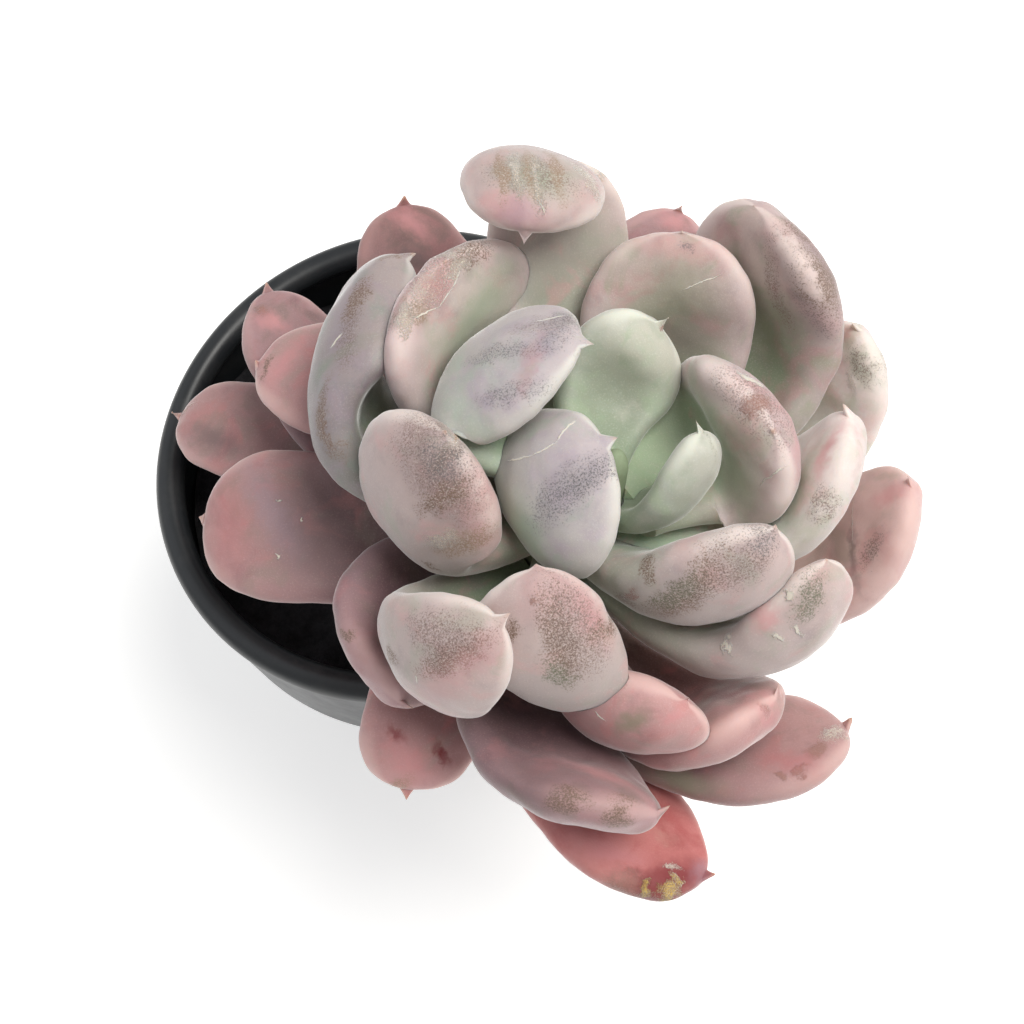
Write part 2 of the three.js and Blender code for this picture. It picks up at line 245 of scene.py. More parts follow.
def curve_through(start, middle, end):
    """The parabola that passes through its middle point where that point lies along it."""
    before = (middle - start).length
    t = before / (before + (end - middle).length)
    handle = (middle - start * (1 - t) ** 2 - end * t**2) / (2 * t * (1 - t))
    return start, handle, end


stem_curve = (STEM_FOOT, STEM_BEND, STEM_TOP)


def stem_radius(along):
    return STEM_THICK + (STEM_THIN - STEM_THICK) * along**2


def swell(s, base, peak):
    """Half a width as a share of the greatest: a narrow base, a swell and a round end."""
    if s < peak:
        return base + (1 - base) * math.sin(math.pi / 2 * s / peak) ** 1.2
    end = math.sqrt(max(1 - ((s - peak) / (1 - peak)) ** 3, 0))
    return (end**3 + NIB_SHARE**3) ** (1 / 3)


def ball(around, along):
    """A sphere of quads, whose rings and columns become the rings and columns of a grown skin."""
    grown = bmesh.new()
    bmesh.ops.create_uvsphere(grown, u_segments=around, v_segments=along, radius=1)
    return grown


def ring_of(vert, along):
    return round(math.acos(max(-1, min(1, vert.co.z))) / math.pi * along)


def leaf_rings(shape, curve, across, grow, along):
    """For each ring from foot to point: its centre, frame, half sizes and place along the leaf."""
    nib = math.radians(shape["nib"])
    length = curve_length(curve)
    point = shape["point"]
    body = 1 - MUCRO * math.cos(nib) / length
    bend = shape["wide"] / 2 / shape["cup"]
    rings = []
    for ring in range(along + 1):
        w = ring / along
        out = max(0, (w - (1 - NIB_ROWS)) / NIB_ROWS)  # how far out along the point
        s = math.sin(math.pi / 2 * min(w / (1 - NIB_ROWS), 1))
        t = s * body
        tangent = curve_tangent(curve, t)
        side = (across - tangent * across.dot(tangent)).normalized()
        roll = math.radians(shape["turn"][0] + (shape["turn"][1] - shape["turn"][0]) * t)
        side = Matrix.Rotation(roll, 3, tangent) @ side
        face = tangent.cross(side)
        centre = curve_point(curve, t)
        centre += tangent * (point * math.cos(nib) * out) + face * (point * math.sin(nib) * out)
        flare = (1 - out) ** POINT_TAPER if 0 < ring < along else 0
        half = (shape["wide"] / 2 + grow) * swell(s, shape["neck"], shape["peak"]) * flare
        deep = (shape["thick"] / 2 + grow) * swell(s, base=0.5, peak=0.6) * flare
        hollow = shape["scoop"] * math.sin(math.pi * min(s * 1.15, 1)) ** 2
        rings.append((centre, side, face, half, deep, hollow, bend, s + 0.1 * out, t * length))
    return rings


def leaf_skin(shape, curve, across, grow, around, along, seed):
    """The leaf's closed skin. Each vertex keeps its place in it, as a share of its size and in mm."""
    skin = ball(around, along)
    share = skin.verts.layers.float_vector.new("share")
    grown = skin.verts.layers.float_vector.new("grown")
    rings = leaf_rings(shape, curve, across, grow, along)
    for vert in skin.verts:
        centre, side, face, half, deep, hollow, bend, s, reach = rings[ring_of(vert, along)]
        turn = math.atan2(vert.co.y, vert.co.x)
        up = math.sin(turn)
        lift = deep * up - (hollow * up**3 if up > 0 else 0)
        if up < 0:
            ridge = math.exp(-((half * math.cos(turn) / KEEL_HALF) ** 2))
            ridge *= max(0, (s - (1 - KEEL_RUN)) / KEEL_RUN)
            lift -= KEEL * ridge * up * up * min(1, half / KEEL_HALF)
        angle = half * math.cos(turn) / bend
        spot = centre + side * ((bend - lift) * math.sin(angle))
        vert.co = spot + face * (bend - (bend - lift) * math.cos(angle))
        vert[share] = (math.cos(turn), up, s)
        vert[grown] = (half * math.cos(turn), lift, reach)
    bmesh.ops.recalc_face_normals(skin, faces=skin.faces)
    if skin.calc_volume(signed=True) < 0:
        bmesh.ops.reverse_faces(skin, faces=skin.faces)
    skin.normal_update()
    for vert in skin.verts:
        spot = vert.co / LUMP_SPAN + Vector((seed, 0, 0))
        soft = noise.noise(spot) * BROAD_LUMPS + noise.noise(spot * FINER) * FINE_LUMPS
        vert.co += vert.normal * soft * min(1, vert[grown][2] / FOOT_SMOOTH)
    return skin


def leaf_curve(shape):
    """The curve that a leaf is drawn along, and the direction of its width."""
    if shape["joins"] is None:
        curve = curve_through(seen(shape["start"]), seen(shape["middle"]), seen(shape["tip"]))
        return curve, view_forward.cross(curve_tangent(curve, 0.5))
    start = curve_point(stem_curve, shape["joins"])
    stem_up = curve_tangent(stem_curve, shape["joins"])
    out = seen(shape["middle"]) - start
    out = (out - stem_up * out.dot(stem_up)).normalized()
    start = start + out * (stem_radius(shape["joins"]) - BURIED)
    return curve_through(start, seen(shape["middle"]), seen(shape["tip"])), stem_up.cross(out)


# Pieces as Blender objects.


def as_object(name, made):
    mesh = bpy.data.meshes.new(name)
    bmesh.ops.scale(made, vec=(MM, MM, MM), verts=made.verts)
    made.to_mesh(mesh)
    made.free()
    piece = bpy.data.objects.new(name, mesh)
    bpy.context.collection.objects.link(piece)
    return piece


def apply_modifiers(piece):
    graph = bpy.context.evaluated_depsgraph_get()
    finished = bpy.data.meshes.new_from_object(piece.evaluated_get(graph))
    piece.modifiers.clear()
    old = piece.data
    piece.data = finished
    bpy.data.meshes.remove(old)


def discard(pieces):
    for piece in pieces:
        mesh = piece.data
        bpy.data.objects.remove(piece)
        bpy.data.meshes.remove(mesh)


def join_or_cut(piece, others, operation):
    for other in others:
        step = piece.modifiers.new("step", "BOOLEAN")
        step.operation = operation
        step.solver = "MANIFOLD"
        step.object = other
    if others:
        apply_modifiers(piece)


def boxes_meet(a, b):
    corners = [[Vector(c) for c in o.bound_box] for o in (a, b)]
    low = [Vector(map(min, zip(*c))) for c in corners]
    high = [Vector(map(max, zip(*c))) for c in corners]
    return all(low[0][i] < high[1][i] and low[1][i] < high[0][i] for i in range(3))


def keep_largest(piece):
    """A cut can leave a crumb behind a neighbour."""
    made = bmesh.new()
    made.from_mesh(piece.data)
    left = set(made.verts)
    islands = []
    while left:
        edge = [left.pop()]
        island = list(edge)
        while edge:
            vert = edge.pop()
            for link in vert.link_edges:
                other = link.other_vert(vert)
                if other in left:
                    left.remove(other)
                    edge.append(other)
                    island.append(other)
        islands.append(island)
    islands.sort(key=len)
    for island in islands[:-1]:
        bmesh.ops.delete(made, geom=island, context="VERTS")
    made.to_mesh(piece.data)
    made.free()


def copy_places(piece, uncut):
    """Gives a cut leaf's vertices the places of the uncut skin near them, or mid-leaf on a cut face."""
    tree = KDTree(len(uncut))
    for i, (spot, _, _) in enumerate(uncut):
        tree.insert(spot, i)
    tree.balance()
    mesh = piece.data
    for name in ("share", "grown"):
        if name in mesh.attributes:
            mesh.attributes.remove(mesh.attributes[name])
    share, grown = [], []
    for vert in mesh.vertices:
        near = tree.find_n(vert.co, 3)
        weights = [1 / (distance + 1e-7) for _, _, distance in near]
        total = sum(weights)
        on_skin = max(0, 1 - near[0][2] / (SKIN_REACH * MM))
        for store, which in ((share, 1), (grown, 2)):
            place = Vector((0, 0, 0))
            for (_, i, _), weight in zip(near, weights):
                place += uncut[i][which] * (weight / total)
            if which == 1:
                place.x *= on_skin
            store.extend(place)
    for name, values in (("share", share), ("grown", grown)):
        made = mesh.attributes.new(name, "FLOAT_VECTOR", "POINT")
        made.data.foreach_set("vector", values)


def smooth_shade(piece, sharp):
    mesh = piece.data
    mesh.polygons.foreach_set("use_smooth", [True] * len(mesh.polygons))
    mesh.set_sharp_from_angle(angle=math.radians(sharp))
    mesh.update()


def make_leaf_solid(name, shape, grow, around, along, seed):
    """One uncut leaf, with the fold of its end if it has one, and the places on its skin."""
    parts = [shape] + ([shape["fold"]] if shape["fold"] else [])
    pieces = []
    places = []
    for step, part in enumerate(parts):
        skin = leaf_skin(part, *leaf_curve(part), grow, around, along, seed + 3 * step)
        share = skin.verts.layers.float_vector["share"]
        grown = skin.verts.layers.float_vector["grown"]
        shift = Vector((0, 0, FOLD_REACH * step))
        if step:
            for vert in skin.verts:
                vert[share].z = FOLD_SHARE + (1 - FOLD_SHARE) * vert[share].z
        places += [(v.co * MM, v[share].copy(), v[grown] + shift) for v in skin.verts]
        pieces.append(as_object(name, skin))
    join_or_cut(pieces[0], pieces[1:], "UNION")
    discard(pieces[1:])
    return pieces[0], places


def make_stem(name, grow, around, along):
    skin = ball(around, along)
    share = skin.verts.layers.float_vector.new("share")
    for vert in skin.verts:
        ring = ring_of(vert, along)
        s = max(0, min(1, (ring - 0.5) / (along - 1)))
        turn = math.atan2(vert.co.y, vert.co.x)
        tangent = curve_tangent(stem_curve, s)
        side = tangent.cross(level_right).normalized()
        front = side.cross(tangent)
        # Some nine rings, which wander up and down as they go round.
        scars = SCARS if grow else SCARS * max(0, math.sin(58 * s + 1.3 * math.sin(turn + 9 * s)))
        radius = 0 if ring in (0, along) else stem_radius(s) + grow - SCARS + scars
        if not grow:  # the stem's own top is rounded over its last tenth
            radius *= math.sqrt(max(0, 1 - (max(0, s - 0.9) / 0.1) ** 2))
        spot = curve_point(stem_curve, s)
        if ring == along:
            spot += tangent * grow
        vert.co = spot + front * (radius * math.cos(turn)) + side * (radius * math.sin(turn))
        vert[share] = (math.cos(turn), math.sin(turn), s)
    bmesh.ops.recalc_face_normals(skin, faces=skin.faces)
    return as_object(name, skin)


# The pot and its compost.


def pot_outline(wall):
    lip = POT_HEIGHT - BEAD_RADIUS
    outer = RIM_RADIUS - 0.4 - wall
    return lip, lip - COLLAR_DROP, outer, outer - COLLAR_STEP, FOOT_RADIUS - wall


def spun(outline, steps):
    """A closed turned solid from an outline that starts and ends on the axis."""
    made = bmesh.new()
    points = [made.verts.new((radius, 0, height)) for radius, height in outline]
    edges = [made.edges.new(pair) for pair in zip(points, points[1:])]
    bmesh.ops.spin(
        made, geom=points + edges, cent=(0, 0, 0), axis=(0, 0, 1), angle=2 * math.pi, steps=steps,
        use_merge=True, use_duplicate=False,
    )
    bmesh.ops.remove_doubles(made, verts=made.verts, dist=1e-4)
    bmesh.ops.recalc_face_normals(made, faces=made.faces)
    return made


def make_pot():
    lip, collar_foot, outer, body_top, foot = pot_outline(0)
    _, _, inner, inner_body_top, inner_foot = pot_outline(WALL)
    # From the middle of the underside round the foot, up the outside, over the lip and down the inside.
    outline = [(0, 0), (foot - FOOT_ROUNDING, 0)]
    for i in range(1, FOOT_STEPS + 1):
        t = i / FOOT_STEPS
        start = (foot - FOOT_ROUNDING) * (1 - t) ** 2
        outline.append((start + foot * 2 * t * (1 - t) + (foot + 0.4) * t**2, FOOT_ROUNDING * t**2))
    outline += [
        (body_top - 0.15, collar_foot - COLLAR_STEP - 0.5),
        (body_top, collar_foot - COLLAR_STEP),
        (outer - 0.55, collar_foot - 0.15),
        (outer - 0.3, collar_foot + 0.25),
        (outer, lip - BEAD_RADIUS * 0.6),
    ]
    for i in range(LIP_STEPS + 1):
        angle = LIP_FROM + LIP_TURN * i / LIP_STEPS
        bead = RIM_RADIUS - BEAD_RADIUS + BEAD_RADIUS * math.cos(angle)
        outline.append((bead, lip + BEAD_RADIUS * math.sin(angle)))
    outline += [
        (inner, lip - BEAD_RADIUS * 1.5),
        (inner - 0.3, collar_foot - 0.4),
        (inner_body_top, collar_foot - COLLAR_STEP - 0.4),
        (inner_foot + 0.4, WALL + FOOT_ROUNDING),
        (inner_foot - FOOT_ROUNDING, WALL),
        (0, WALL),
    ]
    pot = as_object("pot_moulded", spun(outline, 180 if FINE else 90))
    drills = []
    for i in range(DRAIN_HOLES):
        angle = (i + 0.5) / DRAIN_HOLES * 2 * math.pi
        spot = Vector((DRAIN_RING * math.cos(angle), DRAIN_RING * math.sin(angle), WALL / 2))
        drill = bmesh.new()
        bmesh.ops.create_cone(
            drill, segments=32, cap_ends=True, radius1=DRAIN_RADIUS, radius2=DRAIN_RADIUS,
            depth=4 * WALL, matrix=Matrix.Translation(spot),
        )
        drills.append(as_object("drill", drill))
    join_or_cut(pot, drills, "DIFFERENCE")
    discard(drills)
    smooth_shade(pot, sharp=32)
    return pot


def make_soil(stem_hole):
    _, collar_foot, _, _, _ = pot_outline(0)
    _, _, inner, inner_body_top, inner_foot = pot_outline(WALL + GAP)
    edge = inner - 0.6
    rings = 56 if FINE else 28
    outline = [
        (0, WALL + GAP),
        (inner_foot - FOOT_ROUNDING, WALL + GAP),
        (inner_foot + 0.2, WALL + GAP + FOOT_ROUNDING),
        (inner_body_top - 0.1, collar_foot - COLLAR_STEP - 0.6),
        (edge, collar_foot + 0.4),
        (edge, SOIL_TOP - 1.2),
    ]
    outline += [((edge - 0.5) * (1 - i / rings), SOIL_TOP) for i in range(rings + 1)]
    made = spun(outline, 200 if FINE else 90)
    for vert in made.verts:
        x, y, z = vert.co
        if z < SOIL_TOP - 0.5:
            continue
        swell_of_bed = math.sin(0.31 * x + 1.3) * math.cos(0.27 * y)
        swell_of_bed += 0.6 * math.sin(0.53 * y - 0.4 * x)
        near, _ = noise.voronoi(Vector((x, y, 0)) / CRUMB)
        crumbs = 0.9 * (0.45 - near[0]) + 0.25 * noise.noise(Vector((x, y, 5)) / 0.8)
        vert.co.z = SOIL_TOP + SOIL_BUMP * swell_of_bed + crumbs
    soil = as_object("soil_compost", made)
    join_or_cut(soil, [stem_hole], "DIFFERENCE")
    smooth_shade(soil, sharp=50)
    return soil


# Colour and finish.


def linear(code):
    """An sRGB hex colour as linear red, green, blue and alpha."""
    parts = [int(code[i : i + 2], 16) / 255 for i in (1, 3, 5)]
    return [c / 12.92 if c <= 0.04045 else ((c + 0.055) / 1.055) ** 2.4 for c in parts] + [1]


def connect(tree, node, links):
    """Links sockets of a node from other nodes' outputs. A node stands for its first output."""
    for socket, source in links.items():
        if isinstance(source, bpy.types.Node):
            source = source.outputs[0]
        tree.links.new(source, node.inputs[socket])


def add_node(tree, kind, values=None, links=None, **settings):
    """Adds a node with its settings, its sockets' values and its links."""
    made = tree.nodes.new("ShaderNode" + kind)
    for name, value in settings.items():
        setattr(made, name, value)
    for socket, value in (values or {}).items():
        made.inputs[socket].default_value = value
    connect(tree, made, links or {})
    return made


def set_stops(ramp, *stops):
    """Gives a colour ramp its stops: a position and a colour each."""
    for position, _ in stops[1:-1]:
        ramp.elements.new(position)
    for stop, (position, code) in zip(ramp.elements, stops):
        stop.position = position
        stop.color = linear(code)


def new_material(name, values):
    material = bpy.data.materials.new(name)
    material.use_nodes = True
    tree = material.node_tree
    tree.nodes.clear()
    surface = add_node(tree, "BsdfPrincipled", values=values)
    add_node(tree, "OutputMaterial", links={"Surface": surface})
    return material, tree, surface


# Each skin holds a leaf's colours from base to tip on the face and on the back, and those of its
# margin, of rubbed patches and of two tints, and its slot. Most skins are what one age of leaf shows.
# The colours near the base are darker, partly as painted shade where the leaves lie under one another.
# Some skins are copies of another, made lighter as painted light or darker as painted shade.
SKINS = {
    "young": dict(
        slot="leaf_sage", margin="#e6e8da", rub="#93a68b", tints=("#b9b9ad", "#a2b596"),
        face=("#8f9c86", "#a2a897", "#c4c2b5"), back=("#99a691", "#abb1a4", "#c8c7bd"),
    ),
    "bloomed": dict(
        slot="leaf_pearl", margin="#e2e1d9", rub="#98909c", tints=("#b5a5b2", "#a5b5a4"),
        face=("#9fb495", "#aabaa2", "#c9c6bb"), back=("#a3b49b", "#b1b3ab", "#c2b7b9"),
    ),
    # Bloomed's colours made lighter: painted light, so that leaves 15 and 17 look more brightly lit.
    "bright": dict(
        slot="leaf_pearl", margin="#ece2dc", rub="#b3a49f", tints=("#dcb9b5", "#b7c0a8"),
        face=("#adc2a7", "#c5ccbe", "#e6d8d4"), back=("#b3c1ad", "#cdcac3", "#e6d6d3"),
    ),
    "blushing": dict(
        slot="leaf_sage", margin="#ecdfd9", rub="#9f8e90", tints=("#cda2a2", "#abb09c"),
        face=("#869a7d", "#a3ad97", "#c9bbb5"), back=("#a6ac9a", "#bbaeab", "#cdb6b6"),
    ),
    # Blushing with a lighter face: painted light that lifts the shade in the deep hollow of leaf 9.
    "spooned": dict(
        slot="leaf_sage", margin="#ecdfd9", rub="#9f8e90", tints=("#cda2a2", "#abb09c"),
        face=("#9fb293", "#b1bca5", "#cdbfb9"), back=("#a6ac9a", "#bbaeab", "#cdb6b6"),
    ),
    # Blushing's colours made darker: painted shade for leaves 11 and 13, whose hollow faces lie in
    # shadow.
    "hollowed": dict(
        slot="leaf_sage", margin="#e3d3cd", rub="#8f7f80", tints=("#bd9494", "#96a086"),
        face=("#6f8167", "#8b947f", "#c2afa9"), back=("#99a08f", "#aea19e", "#c4aead"),
    ),
    "speckled": dict(
        slot="leaf_pearl", margin="#eadfd9", rub="#998a8c", tints=("#cba3a1", "#a9ac9c"),
        face=("#94a58a", "#a5a898", "#c1b2ad"), back=("#9fa593", "#b4aaa6", "#c5b0ad"),
    ),
    "lilac": dict(
        slot="leaf_pearl", margin="#cdc8c3", rub="#7c7280", tints=("#a3929c", "#87968a"),
        face=("#7a8a70", "#8b927f", "#a69d95"), back=("#828b79", "#908788", "#a89b99"),
    ),
    "pink": dict(
        slot="leaf_rose", margin="#dcbdb7", rub="#a88586", tints=("#cb9796", "#b4a598"),
        face=("#95887f", "#c9aea8", "#d8b9b5"), back=("#a0948b", "#cfb4af", "#d8b9b5"),
    ),
    "rosy": dict(
        slot="leaf_rose", margin="#dfbeb9", rub="#916a6e", tints=("#c58483", "#a3928a"),
        face=("#614f49", "#8e6e6e", "#c29695"), back=("#73605a", "#a48080", "#c49997"),
    ),
    "dusky": dict(
        slot="leaf_rose", margin="#d3b2ad", rub="#806266", tints=("#b57c7b", "#8e7f77"),
        face=("#5d4d47", "#84696a", "#b58f8d"), back=("#6e5c57", "#967879", "#b89291"),
    ),
    "mauve": dict(
        slot="leaf_rose", margin="#c4a3a1", rub="#6a535a", tints=("#a47578", "#7f7069"),
        face=("#5c504b", "#73595d", "#a58586"), back=("#6c5b58", "#876d71", "#ad8a8c"),
    ),
    # Mauve made darker: painted shade for leaf 30, which lies in the shadow of the others.
    "shaded": dict(
        slot="leaf_rose", margin="#b58f8c", rub="#6a4c50", tints=("#97696a", "#6d5f58"),
        face=("#4a3b37", "#684f50", "#97706f"), back=("#5a4845", "#7b6061", "#9c7675"),
    ),
    "ripe": dict(
        slot="leaf_salmon", margin="#d19a93", rub="#9a514f", tints=("#a84f4e", "#b98b80"),
        face=("#85594f", "#b37874", "#bf7472"), back=("#8d5f58", "#b97f7b", "#be7572"),
    ),
}

LEAF_SKINS = """
    bloomed bloomed young young speckled speckled speckled speckled spooned blushing hollowed
    lilac hollowed speckled bright speckled bright pink rosy rosy dusky mauve ripe rosy mauve
    dusky rosy dusky mauve shaded mauve young dusky
""".split()


def mark(colour, strength, **grain):
    return dict(colour=colour, strength=strength, **grain)


# What handling, water and age leave on the skin, and painted shade. A mark that is broken up has specks
# of fine grain, and dense says how much of its middle they cover. The others fade out softly. A raised
# one is a scab.
MARK_KINDS = {
    "brown": mark("#7b6558", 0.82, broken=2.9, dense=0.56),
    "tan": mark("#9a8370", 0.72, broken=2.6, dense=0.56),
    "dusting": mark("#7d6963", 0.75, broken=2.8, dense=0.42),
    "moss": mark("#6f705c", 0.75, broken=2.7, dense=0.5),
    "soot": mark("#6d6a6c", 0.68, broken=3.1, dense=0.38),
    "cream": mark("#dccfc0", 0.85, broken=2.6, dense=0.5, raised=0.5),
    "scar": mark("#d8d1c4", 0.75, broken=0.8, dense=0.85, raised=1),
    "line": mark("#e4dfd3", 0.85, broken=0.5, dense=1.0, raised=0.6),
    "rust": mark("#9c766c", 0.6, broken=1.5, dense=0.66, raised=0.3),
    "gold": mark("#cfae60", 0.85, broken=1.8, dense=0.62, raised=1),
    "amber": mark("#b3895f", 0.8, broken=0.5, dense=0.9, raised=0.5),
    "blush": mark("#d09294", 0.62),
    "rose": mark("#b97678", 0.55),
    "red": mark("#7d2b30", 0.92),
    # olive: a darker olive green, which is painted shade in the hollows of leaves 11 and 13
    "olive": mark("#788468", 0.6),
    "violet": mark("#9b8f9e", 0.4),
    "green": mark("#9db094", 0.6),
    # shade: mostly painted shade where a leaf lies in shadow, in a crease or in a hollow; on leaf 13 it
    # also deepens a purple patch of the skin
    "shade": mark("#6d5a5c", 0.55),
}
STAINING = ("brown", "tan", "dusting", "moss")  # grains of pale wax lie on these
STAIN = 0.36  # the even colour under a mark's specks
MARK_LIFT = 5  # how far a mark reaches through the leaf, up and down from its middle
LINE_LIFT = 1.2

